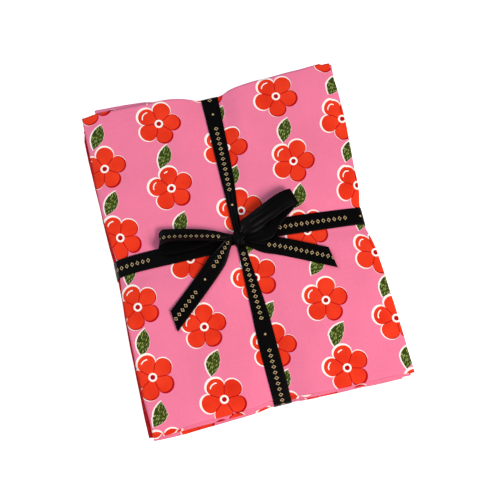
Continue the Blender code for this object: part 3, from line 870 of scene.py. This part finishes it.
# The flower print, in millimetres, radians and cells
SHIFT = (0.31, 0.18, 0)  # of all cells
LARGEST_NUDGE, LARGEST_TURN = 1.5, 1.3  # of a flower in its cell
LIT_FROM = 2.36  # bearing that the drawn light comes from
# Widths of the outline and of the shaded edge: how much the light adds or takes, and the mean
OUTLINE, EDGE = (1.0, 0.75), (1.25, -0.25)
CREASE = 0.75  # half width of the line between two petals
SHINE, SHINE_HALF, SHINE_FROM = -3.1, 0.42, 0.72  # where the pale stroke lies, and how lit it must be
HEART, EYE = 3.0, 1.7  # radii of the pale middle and the dark one in it
LEAF_LENGTH, LEAF_WIDTH = 9.2, 4.6  # halves
LEAF_RIM, LEAF_TURN = (0.9, 0.15), (0.5, -1.25)  # outline, heading: by how much they vary, from what


def flower_print(add, uv, colours, print_size):
    """Five-petalled flowers in half-drop columns, with a leaf in each gap of a column.

    In a cell, r and bearing are the polar place round the flower, in millimetres. The petals end at
    radius (0.6 + 0.4 |cos(2.5 bearing)| to the power 0.55). Their margin is r less that end. The leaf
    is where |across| is less than its half width times 1 - (along / its half length) squared. A
    flower's outline is wider towards the bearing LIT_FROM, and a leaf's on one side of it.
    """
    ground, petal, petal_light, outline, edge, leaf, leaf_light = colours
    cell = (print_size.cell_width, print_size.cell_height)
    radius = 1000 * print_size.flower_radius
    scale = (1 / cell[0], 1 / cell[1], 1)
    place = add("Mapping", named={"Vector": uv, "Location": SHIFT, "Scale": scale})
    columns, rows, _ = add("SeparateXYZ", place).node.outputs
    column = add("Math FLOOR", columns)
    dropped = add("Math MULTIPLY_ADD", add("Math MODULO", column, 2.0), 0.5, rows)
    names = add("CombineXYZ", column, add("Math FLOOR", dropped), 0.0)
    chance = add("TexWhiteNoise", output="Color", noise_dimensions="2D", named={"Vector": names})
    chances = add("SeparateColor", chance).node.outputs
    local, nudged = [], []
    for value, size, drift in zip((columns, dropped), cell, chances):
        in_cell = add("Math SUBTRACT", add("Math FRACT", value), 0.5)
        local.append(add("Math MULTIPLY", in_cell, 1000 * size))
        drift = add("Math SUBTRACT", drift, 0.5)
        nudged.append(add("Math MULTIPLY_ADD", drift, 2 * LARGEST_NUDGE, local[-1]))
    r = add("VectorMath LENGTH", add("CombineXYZ", *nudged, 0.0), output=1)
    bearing = add("Math ARCTAN2", nudged[1], nudged[0])
    turned = add("Math MULTIPLY_ADD", chances[2], LARGEST_TURN, bearing)
    lobe = add("Math ABSOLUTE", add("Math COSINE", add("Math MULTIPLY", turned, 2.5)))
    petal_end = add("Math MULTIPLY_ADD", add("Math POWER", lobe, 0.55), 0.40 * radius, 0.60 * radius)
    margin = add("Math SUBTRACT", r, petal_end)
    lit = add("Math COSINE", add("Math SUBTRACT", bearing, LIT_FROM))
    in_outline = add("Math LESS_THAN", margin, add("Math MULTIPLY_ADD", lit, *OUTLINE))
    in_petals = add("Math LESS_THAN", margin, 0.0)
    in_edge = add("Math GREATER_THAN", margin, add("Math MULTIPLY_ADD", lit, *EDGE))
    crease = add("Math LESS_THAN", add("Math MULTIPLY", lobe, r), CREASE)
    bright = add("Math GREATER_THAN", add("Math MULTIPLY", lobe, lit), SHINE_FROM)
    in_shine = add("Math MULTIPLY", add("Math COMPARE", margin, SHINE, SHINE_HALF), bright)
    heart, eye = (add("Math LESS_THAN", r, end) for end in (HEART, EYE))
    # The leaf, in the gap half a cell away
    gap = add("Math SUBTRACT", add("Math FRACT", add("Math ADD", dropped, 0.5)), 0.5)
    leaf_middle = add("CombineXYZ", local[0], add("Math MULTIPLY", gap, 1000 * cell[1]), 0.0)
    turn = add("Math MULTIPLY_ADD", chances[0], *LEAF_TURN)
    leaf_place = add("VectorRotate", rotation_type="Z_AXIS", named={"Vector": leaf_middle, "Angle": turn})
    along, across, _ = add("SeparateXYZ", leaf_place).node.outputs
    narrow = add("Math MULTIPLY", add("Math MULTIPLY", along, along), 1 / LEAF_LENGTH**2)
    leaf_half = add("Math MULTIPLY_ADD", narrow, -LEAF_WIDTH, LEAF_WIDTH)
    leaf_margin = add("Math SUBTRACT", add("Math ABSOLUTE", across), leaf_half)
    in_leaf = add("Math LESS_THAN", leaf_margin, 0.0)
    leaf_rim = add("Math MULTIPLY_ADD", add("Math GREATER_THAN", across, 0.0), *LEAF_RIM)
    in_leaf_rim = add("Math LESS_THAN", leaf_margin, leaf_rim)
    # Flecks of about 2 by 0.8 mm
    strokes = add("VectorMath MULTIPLY", leaf_place, (0.5, 1.4, 1.0))
    fleck = add("TexNoise", noise_dimensions="2D", named={"Vector": strokes, "Scale": 0.9, "Detail": 2.0})
    green = painted(add, leaf, (add("Math GREATER_THAN", fleck, 0.58), leaf_light))
    # Ink lies a little unevenly on the cloth, in blotches of about 18 mm
    blotch = add("TexNoise", noise_dimensions="2D", named={"Vector": uv, "Scale": 55.0, "Detail": 3.0})
    back = painted(add, ground, (in_leaf_rim, outline), (in_leaf, green), (in_outline, outline))
    red = painted(add, petal, (blotch, petal_light), (crease, edge), (in_edge, edge))
    red = painted(add, red, (in_shine, outline), (heart, outline), (eye, edge))
    return painted(add, back, (in_petals, red))


# The other prints: size of a cell, which fraction of a cell each direction's ink covers, how the two
# go together, and how strong the ink is where one of them covers
SMALL_PRINTS = {
    "checks": (0.0064, (0.5, 0.5), "ADD", 0.5),
    "stripes": (0.0058, (0.42, 0.0), "ADD", 1.0),
    "ticks": (0.0090, (0.12, 0.42), "MULTIPLY", 1.0),
}
DOT_CELL, DOT_RADIUS, DOT_TURN = 0.0070, 0.19, 0.785  # the radius is a share of the cell


def small_print(add, uv, ground, motif, kind):
    """A small all-over print: dots in staggered rows, checks, stripes or ticks.

    Dots are where the distance to the middle of a cell, on rows turned by 45 degrees, is below
    their radius. The others are where the fraction of a direction is below its share.
    """
    if kind == "dots":
        turned = {"Vector": uv, "Scale": (1 / DOT_CELL, 1 / DOT_CELL, 1), "Rotation": (0, 0, DOT_TURN)}
        cell = add("VectorMath FRACTION", add("Mapping", named=turned))
        away = add("VectorMath LENGTH", add("VectorMath SUBTRACT", cell, (0.5, 0.5, 0)), output=1)
        return painted(add, ground, (add("Math LESS_THAN", away, DOT_RADIUS), motif))
    size, shares, how, strength = SMALL_PRINTS[kind]
    place = add("VectorMath SCALE", uv, named={"Scale": 1 / size})
    cell = add("SeparateXYZ", add("VectorMath FRACTION", place)).node.outputs
    inked = [add("Math LESS_THAN", value, share) for value, share in zip(cell, shares)]
    return painted(add, ground, (add("Math MULTIPLY", add("Math " + how, *inked), strength), motif))


# Of the cotton
GRAIN = 0.0009
FOLD_SHADE_HALF = 0.0006  # half width of the painted shade along a pressed fold
SHOWS_THROUGH = 0.42  # share of the pale colour on the wrong side


def quilting_cotton(name, print_of, pale):
    """Plain-woven quilting cotton, printed on one side and pressed.

    The eye gets a flat matt colour, a fine square grain, a faint fuzz at grazing angles, a paler,
    duller wrong side where the ink hasn't come through, and painted shade along the pressed folds.
    """
    look, shader, add = new_material(name)
    uv = add("UVMap", uv_map="cut")
    wrong = add("Attribute", attribute_name="wrong_side", output=2)
    wrong = add("Math MULTIPLY", wrong, SHOWS_THROUGH)
    colour = painted(add, print_of(add, uv), (wrong, linear(pale)))
    # 68 threads to the inch are 0.37 mm apart. The grain is drawn at 0.9 mm, or it wouldn't show.
    grain = add("VectorMath SCALE", uv, named={"Scale": 1 / GRAIN})
    threads = []
    for stretch in ((1.0, 0.07, 1.0), (0.07, 1.0, 1.0)):
        line = {"Vector": add("VectorMath MULTIPLY", grain, stretch), "Scale": 1.0, "Roughness": 0.6}
        threads.append(add("TexNoise", noise_dimensions="2D", named=line))
    slub = add("Math ADD", *threads)
    # Painted shade: a line of 1.2 mm along each pressed fold is darkened, standing in for the shade where
    # the plies turn
    along, down, _ = add("SeparateXYZ", uv).node.outputs
    fold = add("Math COMPARE", down, CUT_WIDTH / 2, FOLD_SHADE_HALF)
    for third in (CUT_LENGTH / 3, 2 * CUT_LENGTH / 3):
        fold = add("Math MAXIMUM", fold, add("Math COMPARE", along, third, FOLD_SHADE_HALF))
    # Cut cloth is rumpled and uneven over about 40 mm
    soft = add("TexNoise", noise_dimensions="2D", named={"Vector": uv, "Scale": 24.0, "Detail": 3.0})
    # What each of them is, from and to, and how bright it leaves the colour there; the fold's darkening is
    # painted shade
    shades = ((slub, 0.7, 1.3, 0.97, 1.025), (fold, 0.0, 1.0, 1.0, 0.8), (soft, 0.3, 0.7, 0.965, 1.02))
    for shade in shades:
        colour = add("VectorMath SCALE", colour, named={"Scale": add("MapRange", *shade)})
    rumple = add("Bump", named={"Strength": 0.35, "Distance": 0.0012, "Height": soft})
    weave = {"Strength": 0.35, "Distance": 0.00015, "Height": slub, "Normal": rumple}
    fill(shader, {"Base Color": colour, "Normal": add("Bump", named=weave), "Roughness": 0.86, "IOR": 1.47})
    fill(shader, {"Specular IOR Level": 0.12, "Sheen Weight": 0.03, "Sheen Roughness": 0.5})
    return look


# The ribbon's figures, in millimetres. Runs of thirteen open lozenges, 3.2 mm high, take 49 mm of a
# repeat, and a dot lies half way to the next run.
APART, RUN_HALF = 3.8, 24.6
LOZENGE, LOZENGE_SLOPE, LINE_HALF = 1.05, 0.8, 0.24  # half width, width over height, half line
DOT = 0.9
SELVAGE, SELVAGE_HALF = 5.75, 0.35
RIB = 0.0005


def satin_ribbon(ribbon):
    """Black polyester satin, woven with long floats and printed in pale gold on its right side.

    The eye gets near black with a soft band of gloss that follows each fold, fine cross ribs, a
    raised woven edge, and small matt gold figures.
    """
    look, shader, add = new_material(SATIN)
    uv = add("UVMap", uv_map="cut")
    along, across, _ = add("SeparateXYZ", uv).node.outputs
    right = add("Math LESS_THAN", add("Attribute", attribute_name="wrong_side", output=2), 0.5)
    # In millimetres: how far the place is from the middle of its run, and of its nearest lozenge
    repeat = 1000 * PRINT_REPEAT
    runs = add("Math FRACT", add("Math MULTIPLY_ADD", along, 1 / PRINT_REPEAT, 0.5))
    from_run = add("Math ABSOLUTE", add("Math MULTIPLY_ADD", runs, repeat, -repeat / 2))
    high = add("Math ABSOLUTE", add("Math MULTIPLY", across, 1000.0))
    phase = add("Math FRACT", add("Math MULTIPLY_ADD", from_run, 1 / APART, 0.5))
    near = add("Math ABSOLUTE", add("Math MULTIPLY_ADD", phase, APART, -APART / 2))
    line = add("Math MULTIPLY_ADD", high, LOZENGE_SLOPE, near)
    line = add("Math COMPARE", line, LOZENGE, LINE_HALF)
    lozenges = add("Math MULTIPLY", line, add("Math LESS_THAN", from_run, RUN_HALF))
    from_dot = add("Math ADD", add("Math SUBTRACT", repeat / 2, from_run), high)
    figures = add("Math MAXIMUM", lozenges, add("Math LESS_THAN", from_dot, DOT))
    # The ink is thinner in spots of 0.7 mm
    worn = add("TexNoise", noise_dimensions="2D", named={"Vector": uv, "Scale": 1500.0, "Detail": 2.0})
    cover = add("MapRange", worn, 0.3, 0.55, 0.55, 1.0)
    ink = add("Math MULTIPLY", add("Math MULTIPLY", figures, right), cover)
    colour = painted(add, tuple(ribbon.colour), (ink, tuple(ribbon.print_colour)))
    # Real floats are 0.1 mm apart. The ribs are drawn at 0.5 mm, or they wouldn't show.
    rib = add("Math SINE", add("Math MULTIPLY", along, 2 * np.pi / RIB))
    selvage = add("Math COMPARE", high, SELVAGE, SELVAGE_HALF)
    height = add("Math MULTIPLY_ADD", selvage, 2.5, rib)
    # A slack ribbon waves over about 8 mm
    soft = add("TexNoise", noise_dimensions="2D", named={"Vector": uv, "Scale": 130.0, "Detail": 2.0})
    slack = add("Bump", named={"Strength": 0.3, "Distance": 0.0006, "Height": soft})
    woven = {"Strength": 0.25, "Distance": 0.00004, "Height": height, "Normal": slack}
    roughness = add("MapRange", ink, 0.0, 1.0, 0.4, 0.6)
    fill(shader, {"Base Color": colour, "Normal": add("Bump", named=woven), "Roughness": roughness})
    fill(shader, {"IOR": 1.5, "Specular IOR Level": 0.055})
    return look


def paper_floor(colour):
    """Matt white background paper, lit a little from behind: even and pale, with a trace of fibre."""
    look, shader, add = new_material("matt background paper")
    place = add("TexCoord", output=3)
    # Tufts of fibre of about 3 mm
    fibre = add("TexNoise", named={"Vector": place, "Scale": 320.0, "Detail": 3.0})
    pale = add("MapRange", fibre, 0.3, 0.7, 0.985, 1.0)
    shade = add("VectorMath SCALE", colour, named={"Scale": pale})
    fill(shader, {"Base Color": shade, "Roughness": 0.95, "Specular IOR Level": 0.1})
    fill(shader, {"Emission Color": (1.0, 1.0, 1.0, 1.0), "Emission Strength": 0.66})
    return look


# The add-on


def length_setting(name, description, default, low, high):
    """A length in metres, from the lowest to the highest that makes sense."""
    shown = {"name": name, "description": description, "unit": "LENGTH", "precision": 5}
    return bpy.props.FloatProperty(default=default, min=low, max=high, **shown)


def colour_setting(name, description, colour):
    """A colour, from its sRGB hex value."""
    shown = {"name": name, "description": description, "subtype": "COLOR", "size": 4}
    return bpy.props.FloatVectorProperty(default=linear(colour), min=0, max=1, **shown)


def angle_setting(name, description, degrees):
    """An angle, from its degrees."""
    shown = {"name": name, "description": description, "subtype": "ANGLE"}
    return bpy.props.FloatProperty(default=np.radians(degrees), **shown)


def group_setting(kind, name, description):
    """A group of settings."""
    return bpy.props.PointerProperty(type=kind, name=name, description=description)


class ClothSettings(bpy.types.PropertyGroup):
    thickness: length_setting("Cloth thickness", "Thickness of one ply of cotton", 0.00034, 0.0001, 0.0005)
    tooth_depth: length_setting("Tooth depth", "Depth of the pinked edge", 0.0013, 0, 0.004)
    tooth_pitch: length_setting("Tooth pitch", "From one tooth to the next", 0.0048, 0.002, 0.01)
    pink: colour_setting("Pink", "Ground of the top cloth", "#ee7b9c")
    flower: colour_setting("Flower", "Petals", "#d52008")
    flower_light: colour_setting("Flower, lighter", "Where the ink lies thinner", "#fa4322")
    outline: colour_setting("Outline", "Cream outline", "#fff3eb")
    edge: colour_setting("Flower edge", "Shaded edge of the petals", "#b3000a")
    leaf: colour_setting("Leaf", "Leaves", "#33400a")
    leaf_light: colour_setting("Leaf flecks", "Light flecks on the leaves", "#94a458")


class PrintSettings(bpy.types.PropertyGroup):
    flower_radius: length_setting("Flower radius", "From the middle to a petal's tip", 0.0158, 0.004, 0.03)
    cell_width: length_setting("Column width", "From a column of flowers to the next", 0.0435, 0.01, 0.1)
    cell_height: length_setting("Repeat", "From a flower to the next in a column", 0.0500, 0.01, 0.1)


class RibbonSettings(bpy.types.PropertyGroup):
    thickness: length_setting("Ribbon thickness", "Thickness of the ribbon", 0.0004, 0.0001, 0.001)
    clearance: length_setting("Clearance", "Air between it and what it lies on", 0.00018, 0.00005, 0.001)
    colour: colour_setting("Ribbon colour", "Colour of the satin", "#050405")
    print_colour: colour_setting("Ribbon print", "Colour of the printed row", "#cdb184")


class StageSettings(bpy.types.PropertyGroup):
    floor_colour: colour_setting("Floor colour", "Colour of the paper", "#f7f6f5")
    azimuth: angle_setting("Camera azimuth", "Turn of the camera round the bundle", -13.518)
    elevation: angle_setting("Camera elevation", "Height of the camera as an angle", 78.485)
    distance: length_setting("Camera distance", "From the camera to the middle of the view", 0.65, 0.2, 5)


class BundleSettings(bpy.types.PropertyGroup):
    cloth: group_setting(ClothSettings, "Cloth", "Sizes and colours of the cotton")
    print: group_setting(PrintSettings, "Print", "Sizes of the flower print")
    ribbon: group_setting(RibbonSettings, "Ribbon", "Sizes and colours of the ribbon")
    stage: group_setting(StageSettings, "Stage", "Floor and camera")


# The lower nine cloths: ground, ink, print, wrong side
PLAIN_CLOTHS = (
    ("#c4244f", "#f6dfd6", "dots", "#dc8a9d"),
    ("#b3131c", "#8f0d17", "ticks", "#d77a76"),
    ("#ea6f90", "#fbdde3", "checks", "#f4c3cf"),
    ("#fbe9dc", "#e8415a", "dots", "#fdf3ec"),
    ("#f4472d", "#fde6da", "ticks", "#f3a490"),
    ("#ee7f9f", "#fbe4df", "dots", "#f4c3cf"),
    ("#d8315f", "#f7b7c4", "stripes", "#e592a8"),
    ("#b30b0e", "#940a0c", "ticks", "#c4524c"),
    ("#d80f10", "#bd0b0d", "checks", "#d6554f"),
)
TOP_INKS = ("pink", "flower", "flower_light", "outline", "edge", "leaf", "leaf_light")
TOP_WRONG_SIDE = "#f6c9d3"


def settle(piece, node, slot):
    """Puts a piece in its CAD node's place and hides that node; the slot is not used."""
    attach(piece, "root")
    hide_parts(node)


class BUNDLE_OT_fat_quarters(bpy.types.Operator):
    """Makes the ten folded fat quarters"""

    bl_idname = "bundle.fat_quarters"
    bl_label = "Fat quarters"

    def execute(self, context):
        cloth, print_size = context.scene.bundle.cloth, context.scene.bundle.print
        inks = [tuple(getattr(cloth, name)) for name in TOP_INKS]
        looks = [
            quilting_cotton(
                f"quilting cotton, {kind} {number}",
                partial(small_print, ground=linear(ground), motif=linear(motif), kind=kind),
                pale,
            )
            for number, (ground, motif, kind, pale) in enumerate(PLAIN_CLOTHS, start=1)
        ]
        flowers = partial(flower_print, colours=inks, print_size=print_size)
        looks.append(quilting_cotton("quilting cotton, flowers on pink", flowers, TOP_WRONG_SIDE))
        for number, (lay, look) in enumerate(zip(LAY_ROWS, looks), start=1):
            piece = fat_quarter(number, cloth, look)
            settle(piece, f"fat_quarter_{number:02d}", lay[5])
        return {"FINISHED"}


class BUNDLE_OT_bands(bpy.types.Operator):
    """Makes the two ribbons round the stack"""

    bl_idname = "bundle.bands"
    bl_label = "Ribbons round the stack"

    def execute(self, context):
        ribbon = context.scene.bundle.ribbon
        satin_ribbon(ribbon)
        for way, axis in (("lengthwise", 1), ("crosswise", 0)):
            piece, length = ribbon_band(f"satin_band_{way}", axis, ribbon)
            settle(piece, f"ribbon_{way}", "ribbon")
        return {"FINISHED"}


class BUNDLE_OT_loops(bpy.types.Operator):
    """Makes the two loops of the bow"""

    bl_idname = "bundle.loops"
    bl_label = "Loops of the bow"

    def execute(self, context):
        for node in LOOP_ROWS:
            piece, length = bow_loop(node, context.scene.bundle.ribbon)
            settle(piece, node, "ribbon")
        return {"FINISHED"}


class BUNDLE_OT_ends(bpy.types.Operator):
    """Makes the two free ends of the bow"""

    bl_idname = "bundle.ends"
    bl_label = "Free ends of the bow"

    def execute(self, context):
        for node in END_ROWS:
            piece, length = ribbon_end(node, context.scene.bundle.ribbon)
            settle(piece, node, "ribbon")
        return {"FINISHED"}


class BUNDLE_OT_knot(bpy.types.Operator):
    """Makes the knot of the bow from two lengths pulled tight over each other"""

    bl_idname = "bundle.knot"
    bl_label = "Knot of the bow"

    def execute(self, context):
        for name, *shape in KNOT_WRAPS:
            piece, length = knot_wrap(name, *shape, context.scene.bundle.ribbon)
            settle(piece, "ribbon_knot", "ribbon")
        return {"FINISHED"}


# Lights: name, size in metres, power in watts, place, colour
LIGHTS = (
    ("key", 0.6, 18.9, (0.66, -0.76, 0.95), "#fff6f0"),
    ("fill", 0.9, 9.8, (-0.78, 0.78, 0.85), "#dcf3ff"),
)
LIT_POINT = (0, 0, 0.02)  # where the lamps point
SEEN_POINT = (0.0035, -0.0060, 0.0410)  # the middle of the view
FLOOR_HALF = 3
FLOOR_DROP = 0.0001  # under the lowest cloth
WORLD_STRENGTH = 0.22


class BUNDLE_OT_stage(bpy.types.Operator):
    """Makes the floor, the lights and the camera"""

    bl_idname = "bundle.stage"
    bl_label = "Stage"

    def execute(self, context):
        scene, stage = context.scene, context.scene.bundle.stage
        data = bpy.data.meshes.new("paper_floor")
        around = ((-1, -1), (1, -1), (1, 1), (-1, 1))
        corners = [(x * FLOOR_HALF, y * FLOOR_HALF, -FLOOR_DROP) for x, y in around]
        data.from_pydata(corners, [], [(0, 1, 2, 3)])
        data.materials.append(paper_floor(tuple(stage.floor_colour)[:3]))
        floor = bpy.data.objects.new("paper_floor", data)
        scene.collection.objects.link(floor)
        for name, size, power, place, colour in LIGHTS:
            lamp = bpy.data.lights.new(name, "AREA")
            lamp.size, lamp.energy, lamp.color = size, power, linear(colour)[:3]
            made = bpy.data.objects.new(name, lamp)
            made.location = place
            away = unit(np.subtract(place, LIT_POINT))
            made.rotation_euler = (np.arccos(away[2]), 0, np.arctan2(away[0], -away[1]))
            scene.collection.objects.link(made)
        scene.world = bpy.data.worlds.new("studio")
        scene.world.use_nodes = True
        background = scene.world.node_tree.nodes["Background"]
        fill(background, {"Color": (1.0, 1.0, 1.0, 1.0), "Strength": WORLD_STRENGTH})
        scene.view_settings.view_transform = "Standard"
        # The photograph's view, from nearly overhead: 928 pixels of focal length over 500 of frame
        camera = bpy.data.cameras.new("camera")
        camera.sensor_width, camera.lens = 36, 36 * 928 / 500
        seen = bpy.data.objects.new("camera", camera)
        a, e = stage.azimuth, stage.elevation
        back = np.array((np.sin(a) * np.cos(e), -np.cos(a) * np.cos(e), np.sin(e)))
        seen.location = SEEN_POINT + stage.distance * back
        seen.rotation_euler = (np.pi / 2 - e, 0, a)
        scene.collection.objects.link(seen)
        scene.camera = seen
        return {"FINISHED"}


class BUNDLE_PT_panel(bpy.types.Panel):
    """Lists the operators and the settings"""

    bl_idname = "BUNDLE_PT_panel"
    bl_label = "Fat quarter bundle"
    bl_space_type = "VIEW_3D"
    bl_region_type = "UI"
    bl_category = "Bundle"

    def draw(self, context):
        for operator in OPERATORS:
            self.layout.operator(operator.bl_idname)
        for group in ("cloth", "print", "ribbon", "stage"):
            settings = getattr(context.scene.bundle, group)
            box = self.layout.box()
            for name in settings.__annotations__:
                box.prop(settings, name)


OPERATORS = (
    BUNDLE_OT_fat_quarters,
    BUNDLE_OT_bands,
    BUNDLE_OT_loops,
    BUNDLE_OT_ends,
    BUNDLE_OT_knot,
    BUNDLE_OT_stage,
)
SETTINGS = (ClothSettings, PrintSettings, RibbonSettings, StageSettings, BundleSettings)
CLASSES = (*SETTINGS, *OPERATORS, BUNDLE_PT_panel)


def register():
    for kind in CLASSES:
        bpy.utils.register_class(kind)
    bpy.types.Scene.bundle = group_setting(BundleSettings, "Bundle", "Fat quarter bundle")


def unregister():
    del bpy.types.Scene.bundle
    for kind in reversed(CLASSES):
        bpy.utils.unregister_class(kind)


def main():
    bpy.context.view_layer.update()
    register()
    bpy.ops.bundle.fat_quarters()
    bpy.ops.bundle.bands()
    bpy.ops.bundle.loops()
    bpy.ops.bundle.ends()
    bpy.ops.bundle.knot()
    bpy.ops.bundle.stage()


if __name__ == "__main__":
    main()
